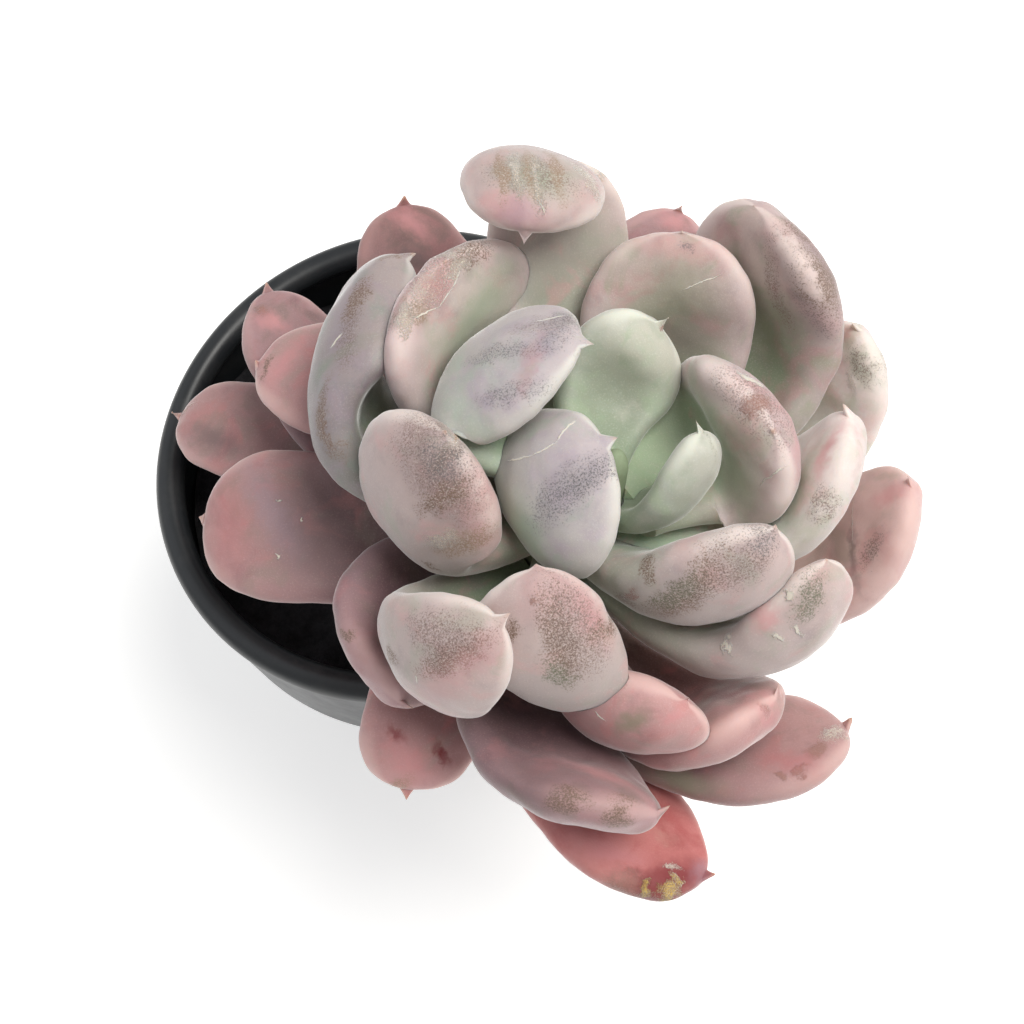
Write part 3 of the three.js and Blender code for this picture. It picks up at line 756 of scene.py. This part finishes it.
# The marks of each leaf: kind, the two pixels of the photograph between which it lies, and half its
# width in mm.
MARKS = {
    1: [
        ("green", 505, 500, 545, 562, 4.5), ("violet", 540, 520, 612, 455, 3.8),
        ("soot", 533, 518, 600, 465, 3.2), ("soot", 584, 492, 612, 462, 1.8),
        ("soot", 550, 500, 590, 478, 1), ("line", 492, 458, 534, 456, 0.16),
        ("line", 534, 456, 556, 445, 0.16), ("line", 556, 445, 577, 420, 0.16),
    ],
    2: [
        ("violet", 500, 400, 590, 330, 3.6), ("soot", 470, 362, 545, 348, 1.8),
        ("soot", 480, 400, 545, 386, 1.8), ("dusting", 520, 330, 580, 356, 2.4),
        ("soot", 548, 346, 586, 332, 2.2), ("rose", 520, 392, 585, 352, 1.4),
        ("line", 536, 322, 562, 316, 0.12),
    ],
    3: [("rust", 664, 325, 666, 325, 0.35)],
    4: [("line", 676, 438, 646, 482, 0.14), ("moss", 660, 470, 700, 430, 0.7)],
    5: [
        ("blush", 455, 410, 488, 510, 3.4), ("blush", 476, 470, 494, 545, 2.6),
        ("shade", 410, 430, 465, 520, 6), ("dusting", 402, 440, 462, 425, 4.4),
        ("dusting", 420, 450, 474, 510, 4.6), ("brown", 420, 506, 466, 478, 1.9),
        ("brown", 432, 470, 462, 446, 1.6), ("soot", 430, 448, 456, 474, 2.2),
        ("tan", 438, 552, 492, 532, 3.2), ("cream", 432, 544, 456, 536, 1.5),
        ("brown", 420, 570, 436, 580, 1), ("cream", 448, 444, 462, 432, 1),
        ("amber", 453, 440, 457, 434, 0.7),
    ],
    6: [
        ("brown", 420, 672, 486, 638, 2.4), ("dusting", 410, 625, 480, 640, 3.6),
        ("blush", 478, 658, 508, 608, 4.6), ("blush", 490, 650, 510, 610, 3),
        ("brown", 388, 656, 396, 660, 1.6), ("line", 414, 672, 418, 686, 0.14),
    ],
    7: [
        ("blush", 524, 562, 556, 600, 3.6), ("blush", 572, 580, 610, 645, 2.6),
        ("brown", 550, 592, 572, 680, 2.9), ("dusting", 556, 590, 596, 668, 4.2),
        ("moss", 548, 664, 566, 684, 1.8), ("brown", 508, 640, 520, 626, 1.4),
        ("rust", 530, 606, 536, 598, 0.7), ("brown", 590, 640, 608, 600, 1.8),
    ],
    8: [
        ("blush", 680, 545, 780, 522, 3.6), ("brown", 646, 612, 724, 545, 3),
        ("moss", 650, 606, 700, 578, 2), ("dusting", 702, 590, 770, 532, 3.2),
        ("soot", 752, 548, 772, 530, 1.2), ("brown", 642, 574, 652, 564, 1.3),
        ("rust", 624, 598, 636, 592, 1), ("brown", 608, 606, 616, 636, 1.8),
        ("rust", 785, 527, 788, 526, 0.5),
    ],
    9: [
        ("green", 700, 400, 745, 500, 5), ("blush", 738, 378, 800, 470, 2.2),
        ("dusting", 720, 370, 790, 440, 2.4), ("scar", 738, 372, 764, 388, 0.7),
        ("rust", 748, 394, 764, 412, 1), ("line", 762, 486, 788, 468, 0.14),
    ],
    10: [
        ("green", 450, 345, 510, 275, 4.6), ("dusting", 380, 335, 450, 245, 3.6),
        ("blush", 385, 350, 440, 262, 4), ("brown", 380, 342, 398, 318, 2.2),
        ("tan", 404, 318, 430, 306, 1.6), ("brown", 440, 268, 484, 236, 2),
        ("cream", 414, 300, 446, 276, 1.8), ("blush", 428, 300, 450, 270, 1.8),
        ("cream", 444, 280, 466, 256, 0.9), ("line", 414, 316, 440, 306, 0.14),
        ("line", 440, 306, 452, 288, 0.14), ("line", 452, 288, 462, 270, 0.14),
        ("cream", 396, 322, 412, 314, 0.8), ("soot", 376, 350, 390, 330, 1),
    ],
    # Leaf 11: olive and shade are painted shade over the hollow of its face.
    11: [
        ("olive", 650, 350, 690, 260, 8), ("shade", 620, 350, 740, 320, 8),
        ("blush", 630, 240, 735, 240, 2.2), ("soot", 682, 244, 690, 250, 1),
        ("line", 684, 290, 722, 276, 0.12),
    ],
    12: [
        ("violet", 340, 360, 372, 260, 3.2), ("dusting", 345, 370, 360, 290, 2),
        ("brown", 350, 316, 366, 284, 1.8), ("brown", 326, 380, 340, 458, 1.3),
        ("olive", 366, 340, 366, 440, 1.8), ("soot", 358, 384, 366, 414, 0.5),
        ("line", 330, 346, 342, 332, 0.2), ("brown", 372, 262, 404, 244, 1.2),
    ],
    # Leaf 13: olive is painted shade in the hollow of its face.
    13: [
        ("blush", 780, 222, 836, 330, 2.6), ("soot", 812, 250, 828, 336, 2.4),
        ("dusting", 786, 205, 836, 320, 3.8), ("brown", 800, 225, 832, 290, 2),
        ("olive", 735, 250, 775, 390, 4.2), ("dusting", 770, 240, 790, 330, 2.6),
        ("brown", 786, 220, 812, 244, 2.2), ("shade", 790, 228, 834, 312, 2.6),
        ("brown", 806, 250, 832, 306, 1.8), ("cream", 796, 214, 824, 240, 0.8),
    ],
    14: [
        ("green", 500, 170, 570, 190, 4), ("dusting", 495, 170, 570, 185, 4.6),
        ("blush", 480, 206, 545, 222, 2.8), ("violet", 500, 212, 540, 216, 2.4),
        ("tan", 500, 152, 506, 200, 1.2), ("tan", 526, 150, 532, 200, 1.1),
        ("tan", 550, 152, 562, 204, 1.3), ("cream", 513, 155, 518, 200, 0.9),
        ("cream", 534, 160, 540, 210, 0.8), ("cream", 578, 166, 596, 196, 1.6),
        ("line", 536, 200, 544, 214, 0.12),
    ],
    15: [
        ("blush", 818, 480, 842, 425, 1.8), ("green", 780, 530, 822, 440, 3),
        ("dusting", 812, 515, 826, 490, 1),
    ],
    16: [
        ("moss", 798, 622, 816, 572, 2), ("blush", 816, 556, 842, 548, 2.4),
        ("blush", 752, 626, 778, 610, 1.6), ("scar", 786, 592, 790, 600, 0.7),
        ("scar", 812, 560, 820, 552, 0.8), ("scar", 774, 634, 780, 640, 0.6),
        ("scar", 792, 628, 800, 636, 0.6), ("scar", 724, 642, 730, 646, 0.5),
    ],
    17: [
        ("green", 848, 345, 870, 385, 2.4), ("dusting", 852, 350, 868, 380, 1.8),
        ("cream", 846, 372, 856, 392, 0.8), ("blush", 838, 330, 850, 340, 1.6),
    ],
    18: [
        ("dusting", 862, 566, 880, 530, 1.8), ("blush", 872, 500, 912, 490, 2.6),
        ("shade", 852, 520, 860, 590, 1.4), ("line", 860, 478, 852, 540, 0.14),
    ],
    19: [
        ("olive", 618, 728, 646, 712, 2), ("blush", 668, 726, 680, 712, 1.2),
        ("line", 594, 712, 606, 722, 0.12),
    ],
    20: [("rust", 762, 704, 768, 718, 0.8), ("blush", 752, 700, 776, 724, 2.2)],
    21: [
        ("rust", 808, 756, 824, 744, 1.4), ("rust", 796, 772, 806, 766, 0.9),
        ("rust", 778, 770, 784, 780, 0.8), ("cream", 826, 738, 840, 728, 1.6),
        ("rose", 760, 755, 820, 765, 2.6), ("olive", 645, 762, 720, 790, 2.2),
    ],
    22: [
        ("blush", 560, 760, 650, 800, 3), ("brown", 548, 798, 584, 806, 1.4),
        ("brown", 604, 816, 630, 824, 1.5), ("shade", 500, 750, 560, 800, 3),
    ],
    23: [
        ("rose", 560, 862, 700, 900, 2.6), ("rose", 590, 846, 640, 862, 1.2),
        ("rust", 610, 884, 650, 892, 1.6), ("blush", 560, 830, 640, 860, 4),
        ("red", 644, 882, 706, 872, 3.6), ("red", 640, 888, 690, 890, 3.4),
        ("violet", 692, 872, 712, 882, 1.8), ("cream", 664, 864, 680, 868, 0.7),
        ("gold", 644, 890, 650, 892, 0.6), ("gold", 660, 892, 680, 888, 0.9),
        ("gold", 674, 876, 682, 884, 0.7),
    ],
    24: [
        ("red", 386, 728, 404, 738, 1), ("red", 434, 744, 448, 764, 1.2),
        ("tan", 392, 786, 410, 776, 2), ("blush", 390, 740, 430, 780, 3.6),
    ],
    25: [("brown", 340, 636, 350, 632, 1), ("violet", 340, 560, 370, 690, 3)],
    26: [
        ("rose", 212, 475, 236, 570, 5), ("violet", 250, 470, 300, 560, 4.2),
        ("shade", 310, 470, 320, 580, 8), ("scar", 278, 502, 282, 502, 0.4),
        ("scar", 277, 554, 281, 554, 0.4), ("scar", 300, 520, 303, 520, 0.3),
    ],
    27: [("blush", 272, 380, 300, 340, 2.4), ("brown", 262, 380, 270, 356, 0.8)],
    28: [("rust", 172, 412, 196, 402, 0.8), ("shade", 190, 430, 240, 450, 3)],
    29: [("rust", 256, 306, 266, 312, 1), ("blush", 250, 300, 290, 330, 2.6)],
    30: [("blush", 390, 210, 430, 240, 2.8), ("shade", 400, 250, 440, 270, 2.2)],
    31: [("blush", 660, 215, 700, 220, 2.4)],
}


def place_marks(piece, marks):
    """Finds where the camera sees each mark on a leaf: its kind, centre, turn and half sizes in mm."""
    mesh = piece.data
    tree = BVHTree.FromPolygons([v.co for v in mesh.vertices], [p.vertices for p in mesh.polygons])
    grown = mesh.attributes["grown"].data
    middle = sum((v.co for v in mesh.vertices), Vector()) / len(mesh.vertices)
    placed = []
    eye = view_eye * MM
    for kind, u0, v0, u1, v1, half in marks:
        ends = []
        for u, v in ((u0, v0), (u1, v1)):
            ray = view_ray(u, v).normalized()
            face = tree.ray_cast(eye, ray)[2]
            if face is None:
                face = tree.find_nearest(eye + ray * (middle - eye).dot(ray))[2]
            corners = mesh.polygons[face].vertices
            ends.append(sum((grown[i].vector for i in corners), Vector()) / len(corners))
        along = ends[1] - ends[0]
        x = along.normalized() if along.length > 1e-3 else Vector((1, 0, 0))
        z = x.cross(Vector((0, 1, 0))).normalized()
        turn = Matrix((x, z.cross(x), z)).transposed().to_euler()
        # A mark fades at its ends, so it is drawn longer than its two pixels are apart.
        length = along.length * 0.62 + (0 if kind == "line" else half * 0.4)
        lift = LINE_LIFT if kind == "line" else MARK_LIFT
        placed.append((kind, (ends[0] + ends[1]) / 2, turn, (max(length, half), lift, half)))
    return placed


def washed(tree, colour, source, low, high, amount, tone, curve="SMOOTHSTEP"):
    """A colour under a wash of another tone, which comes in as its source goes from low to high."""
    shown = add_node(
        tree, "MapRange", interpolation_type=curve,
        values={"From Min": low, "From Max": high, "To Max": amount}, links={"Value": source},
    )
    return add_node(
        tree, "Mix", data_type="RGBA", values={7: linear(tone)}, links={0: shown, 6: colour},
    ).outputs[2]


def leaf_material(number, skin_name, marks):
    """Echeveria leaf: fleshy tissue that light enters, under a matt bloom of wax that rubs off."""
    skin = SKINS[skin_name]
    material, tree, surface = new_material(
        "leaf_%02d_%s_waxy_bloom" % (number, skin_name),
        {
            "Roughness": 0.58, "Specular IOR Level": 0.35,
            "Subsurface Weight": 0.3, "Subsurface Radius": (1.0, 0.7, 0.5), "Subsurface Scale": 0.0025,
            "Sheen Weight": 0.75, "Sheen Roughness": 0.3,
        },
    )
    share = add_node(tree, "Attribute", attribute_name="share").outputs["Vector"]
    grown = add_node(tree, "Attribute", attribute_name="grown").outputs["Vector"]
    place = add_node(tree, "TexCoord").outputs["Object"]
    across, up, along = add_node(tree, "SeparateXYZ", links={0: share}).outputs
    # Flesh colour by place: greener at the base and rosier at the tip, on the face and on the back, and
    # darker towards the base, partly as painted shade where the leaves lie under one another.
    sides = []
    for base, middle, tip in (skin["face"], skin["back"]):
        ramp = add_node(tree, "ValToRGB", links={0: along})
        set_stops(ramp.color_ramp, (0.12, base), (0.55, middle), (0.97, tip))
        sides.append(ramp)
    # The face's colour lies in the hollow, and gives way to the back's where the leaf rolls over.
    edge = add_node(tree, "Math", operation="ABSOLUTE", links={0: across})
    hollow = add_node(
        tree, "Math", operation="MULTIPLY_ADD", values={1: -0.6}, links={0: edge, 2: up}
    )
    which = add_node(
        tree, "MapRange", interpolation_type="SMOOTHSTEP",
        values={"From Min": -0.25, "From Max": 0.65}, links={"Value": hollow},
    )
    colour = add_node(
        tree, "Mix", data_type="RGBA", links={0: which, 6: sides[1], 7: sides[0]},
    ).outputs[2]
    # Round specks of 0.1 to 0.3 mm, and streaks drawn out along the leaf to some 0.7 mm.
    fine = add_node(
        tree, "TexNoise",
        values={"Scale": 1000 / 0.26, "Detail": 3, "Roughness": 0.7}, links={"Vector": place},
    )
    drawn_out = add_node(tree, "Mapping", values={"Scale": (4.6, 4.6, 1.4)}, links={"Vector": grown})
    streaks = add_node(
        tree, "TexNoise",
        values={"Scale": 1.0, "Detail": 4, "Roughness": 0.75}, links={"Vector": drawn_out},
    )
    # The bloom is tinted and rubbed thin in soft patches some 7 mm across, and thinner still in the
    # streaks. The margin is thin and pale, and its pale wash is also painted glow of light through the
    # thin flesh there. The wax lies on in a pale dust of fine grains.
    patches = add_node(
        tree, "TexNoise",
        values={"Scale": 1000 / 7, "Detail": 5, "Roughness": 0.6, "Distortion": 0.4},
        links={"Vector": place},
    )
    thinned, warm, cool = add_node(tree, "SeparateColor", links={0: patches.outputs["Color"]}).outputs
    upper = add_node(tree, "Math", operation="MULTIPLY", links={0: edge, 1: along})
    for source, low, high, amount, tone in (
        (warm, 0.5, 0.66, 0.55, skin["tints"][0]),
        (cool, 0.5, 0.66, 0.5, skin["tints"][1]),
        (thinned, 0.5, 0.78, 0.5, skin["rub"]),
        (streaks, 0.52, 0.8, 0.3, skin["rub"]),
        # The margin's pale wash: partly its own colour, partly painted glow of light through the thin
        # edge.
        (upper, 0.68, 0.97, 0.7, skin["margin"]),
        (fine, 0.5, 0.75, 0.25, skin["margin"]),
    ):
        colour = washed(tree, colour, source, low, high, amount, tone)
    # Marks. Their outlines wander by about a millimetre, and those of thin lines by a third of it.
    wander = add_node(
        tree, "TexNoise",
        values={"Scale": 0.55, "Detail": 4, "Roughness": 0.6}, links={"Vector": grown},
    )
    shift = add_node(
        tree, "VectorMath", operation="MULTIPLY_ADD",
        values={1: (3.4, 0, 3.4), 2: (-1.7, 0, -1.7)}, links={0: wander.outputs["Color"]},
    )
    stained = scabs = None
    for kind, centre, turn, halves in marks:
        finish = MARK_KINDS[kind]
        broken = finish.get("broken")
        moved = add_node(
            tree, "VectorMath", operation="MULTIPLY_ADD",
            values={1: (0.3, 0.3, 0.3) if kind == "line" else (1, 1, 1)},
            links={0: shift, 2: grown},
        )
        local = add_node(
            tree, "Mapping", vector_type="TEXTURE",
            values={"Location": centre, "Rotation": turn, "Scale": halves},
            links={"Vector": moved},
        )
        reach = add_node(tree, "VectorMath", operation="LENGTH", links={0: local}).outputs["Value"]
        mask = add_node(
            tree, "MapRange", interpolation_type="SMOOTHSTEP",
            values={
                "From Min": 1.15,
                "From Max": 0.3 if broken else 0.0,
                "To Max": finish["dense" if broken else "strength"],
            },
            links={"Value": reach},
        )
        if kind in STAINING:
            stained = add_node(
                tree, "Math", operation="MAXIMUM", links={0: stained or mask, 1: mask}
            )
        if broken:
            specks = add_node(
                tree, "Math", operation="MULTIPLY_ADD",
                values={1: broken}, links={0: fine, 2: mask},
            )
            full = 0.5 * broken
            speckled = add_node(
                tree, "MapRange", interpolation_type="SMOOTHSTEP",
                values={"From Min": 0.12 + full, "From Max": 0.82 + full, "To Max": finish["strength"]},
                links={"Value": specks},
            )
            mask = add_node(
                tree, "Math", operation="MULTIPLY_ADD", use_clamp=True,
                values={1: STAIN}, links={0: mask, 2: speckled},
            )
            # Grain never shows outside the mark, so the mask is cut off by the mark's own reach.
            inside = add_node(
                tree, "MapRange",
                values={"From Min": 1.25, "From Max": 0.85}, links={"Value": reach},
            )
            mask = add_node(tree, "Math", operation="MULTIPLY", links={0: mask, 1: inside})
        if "raised" in finish:
            scabs = add_node(
                tree, "Math", operation="MULTIPLY_ADD", values={1: finish["raised"], 2: 0},
                links={0: mask, 2: scabs} if scabs else {0: mask},
            )
        colour = add_node(
            tree, "Mix", data_type="RGBA",
            values={7: linear(finish["colour"])}, links={0: mask, 6: colour},
        ).outputs[2]
    # Stained skin keeps round grains of pale wax.
    if stained:
        grains = add_node(
            tree, "TexNoise",
            values={"Scale": 1000 / 0.24, "Detail": 1, "Roughness": 0.5}, links={"Vector": place},
        )
        waxed = add_node(
            tree, "MapRange", interpolation_type="SMOOTHSTEP",
            values={"From Min": 0.52, "From Max": 0.72, "To Max": 0.55}, links={"Value": grains},
        )
        waxed = add_node(tree, "Math", operation="MULTIPLY", links={0: waxed, 1: stained})
        colour = add_node(
            tree, "Mix", data_type="RGBA",
            values={7: linear(skin["margin"])}, links={0: waxed, 6: colour},
        ).outputs[2]
    # The point is dry and amber at its very end.
    colour = washed(tree, colour, along, 1.05, 1.1, 0.6, "#c09a84", "LINEAR")
    bump = add_node(
        tree, "Bump", values={"Strength": 0.35, "Distance": 0.00012}, links={"Height": fine}
    )
    if scabs:
        bump = add_node(
            tree, "Bump",
            values={"Strength": 0.8, "Distance": 0.0004}, links={"Height": scabs, "Normal": bump},
        )
    connect(tree, surface, {"Base Color": colour, "Normal": bump})
    return material


def rough_material(name, values, grain, bump):
    """A material whose surface stands up in grains. Gives their noise as well, for its colour."""
    material, tree, surface = new_material(name, values)
    place = add_node(tree, "TexCoord").outputs["Object"]
    grains = add_node(tree, "TexNoise", values=grain, links={"Vector": place})
    raised = add_node(tree, "Bump", values=bump, links={"Height": grains})
    connect(tree, surface, {"Normal": raised})
    return material, tree, surface, grains


def pot_material():
    """Polypropylene, injection moulded in black: a satin skin, slate where it mirrors the sky."""
    material, tree, surface, _ = rough_material(
        "polypropylene_black_moulded",
        {"IOR": 1.49},
        {"Scale": 1000 / 0.6, "Detail": 2},
        {"Strength": 0.12, "Distance": 0.00005},
    )
    place = add_node(tree, "TexCoord").outputs["Object"]
    dust = add_node(
        tree, "TexNoise",
        values={"Scale": 1000 / 9, "Detail": 8, "Roughness": 0.7}, links={"Vector": place},
    )
    dusty = add_node(
        tree, "MapRange",
        values={"From Min": 0.5, "From Max": 0.85, "To Max": 0.25}, links={"Value": dust},
    )
    colour = add_node(
        tree, "Mix", data_type="RGBA",
        values={6: linear("#25282b"), 7: linear("#5c5a56")}, links={0: dusty},
    )
    shine = add_node(
        tree, "MapRange", values={"From Min": 0.3, "From Max": 0.8, "To Min": 0.3, "To Max": 0.48},
        links={"Value": dust},
    )
    connect(tree, surface, {"Base Color": colour.outputs[2], "Roughness": shine})
    return material


def soil_material():
    """Peat compost with fine bark: dark, and darker where its grains lie low."""
    material, tree, surface, crumbs = rough_material(
        "peat_compost",
        {"Roughness": 0.95},
        {"Scale": 1000 / 1.6, "Detail": 8, "Roughness": 0.75},
        {"Strength": 0.8, "Distance": 0.0006},
    )
    ramp = add_node(tree, "ValToRGB", links={0: crumbs})
    set_stops(ramp.color_ramp, (0.35, "#0e0f12"), (0.75, "#2e2d31"))
    connect(tree, surface, {"Base Color": ramp})
    return material


def stem_material():
    """Succulent stem: corky and brown at its foot, fleshy and pale green under the young leaves."""
    material, tree, surface, bark = rough_material(
        "stem_cork_to_green",
        {"Roughness": 0.75},
        {"Scale": 1000 / 2.5, "Detail": 6, "Roughness": 0.7},
        {"Strength": 0.5, "Distance": 0.0003},
    )
    share = add_node(tree, "Attribute", attribute_name="share").outputs["Vector"]
    along = add_node(tree, "SeparateXYZ", links={0: share}).outputs[2]
    ramp = add_node(tree, "ValToRGB", links={0: along})
    set_stops(ramp.color_ramp, (0.35, "#7b6a58"), (0.75, "#93a384"))
    colour = washed(tree, ramp, bark, 0.4, 0.8, 0.5, "#6d6650", "LINEAR")
    connect(tree, surface, {"Base Color": colour})
    return material


def finish_piece(piece, node, material):
    piece.data.materials.clear()
    piece.data.materials.append(material)
    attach(piece, "root")
    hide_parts(node)


# Making.

set_camera()

pot = make_pot()
finish_piece(pot, "pot", pot_material())

stem_room = make_stem("stem_room", grow=GAP, around=40, along=60)
soil = make_soil(stem_room)
finish_piece(soil, "soil", soil_material())

stem = make_stem("stem_grown", grow=0, around=48, along=110)
smooth_shade(stem, sharp=60)
finish_piece(stem, "stem", stem_material())

around, along = (72, 84) if FINE else (40, 48)
coarser = 8  # a leaf's room, which cuts the later leaves, has this many columns and rings less
rooms = [stem_room]
for number, shape in enumerate(LEAVES, 1):
    name = "leaf_%02d_grown" % number
    seed = number * SEED_STEP
    piece, places = make_leaf_solid(name, shape, 0, around, along, seed)
    near = [room for room in rooms if boxes_meet(piece, room)]
    join_or_cut(piece, near, "DIFFERENCE")
    keep_largest(piece)
    copy_places(piece, places)
    smooth_shade(piece, sharp=38)
    skin_name = LEAF_SKINS[number - 1]
    material = leaf_material(number, skin_name, place_marks(piece, MARKS.get(number, [])))
    finish_piece(piece, "leaf_%02d" % number, material)
    room, _ = make_leaf_solid("room", shape, SEAM, around - coarser, along - coarser, seed)
    rooms.append(room)
discard(rooms)

# The pale floor, the light and the surroundings.

FLOOR_HALF = 2500
LIT = (0.02, -0.02, 0.1)  # where both lamps point


def make_floor():
    made = bmesh.new()
    bmesh.ops.create_grid(made, x_segments=1, y_segments=1, size=FLOOR_HALF)
    floor = as_object("floor", made)
    values = {
        "Base Color": linear("#fbfbfa"),
        "Roughness": 0.9,
        "Emission Color": linear("#ffffff"),
        "Emission Strength": 0.4,
    }
    floor.data.materials.append(new_material("floor_pale_paper", values)[0])


def add_light(name, spot, size, power, colour):
    light = bpy.data.lights.new(name, "AREA")
    light.shape = "DISK"
    light.size = size
    light.energy = power
    light.color = linear(colour)[:3]
    lamp = bpy.data.objects.new(name, light)
    lamp.location = spot
    lamp.rotation_euler = (Vector(LIT) - Vector(spot)).to_track_quat("-Z", "Y").to_euler()
    bpy.context.collection.objects.link(lamp)


make_floor()
add_light("window", (0.38, -0.1, 0.76), size=0.5, power=5.2, colour="#fffdf8")
add_light("fill", (-0.5, 0.25, 0.6), size=0.9, power=0.9, colour="#f4f7ff")

world = bpy.data.worlds.new("studio")
world.use_nodes = True
sky = world.node_tree.nodes["Background"]
sky.inputs["Color"].default_value = linear("#ffffff")
sky.inputs["Strength"].default_value = 0.44
bpy.context.scene.world = world
bpy.context.scene.view_settings.view_transform = "Standard"
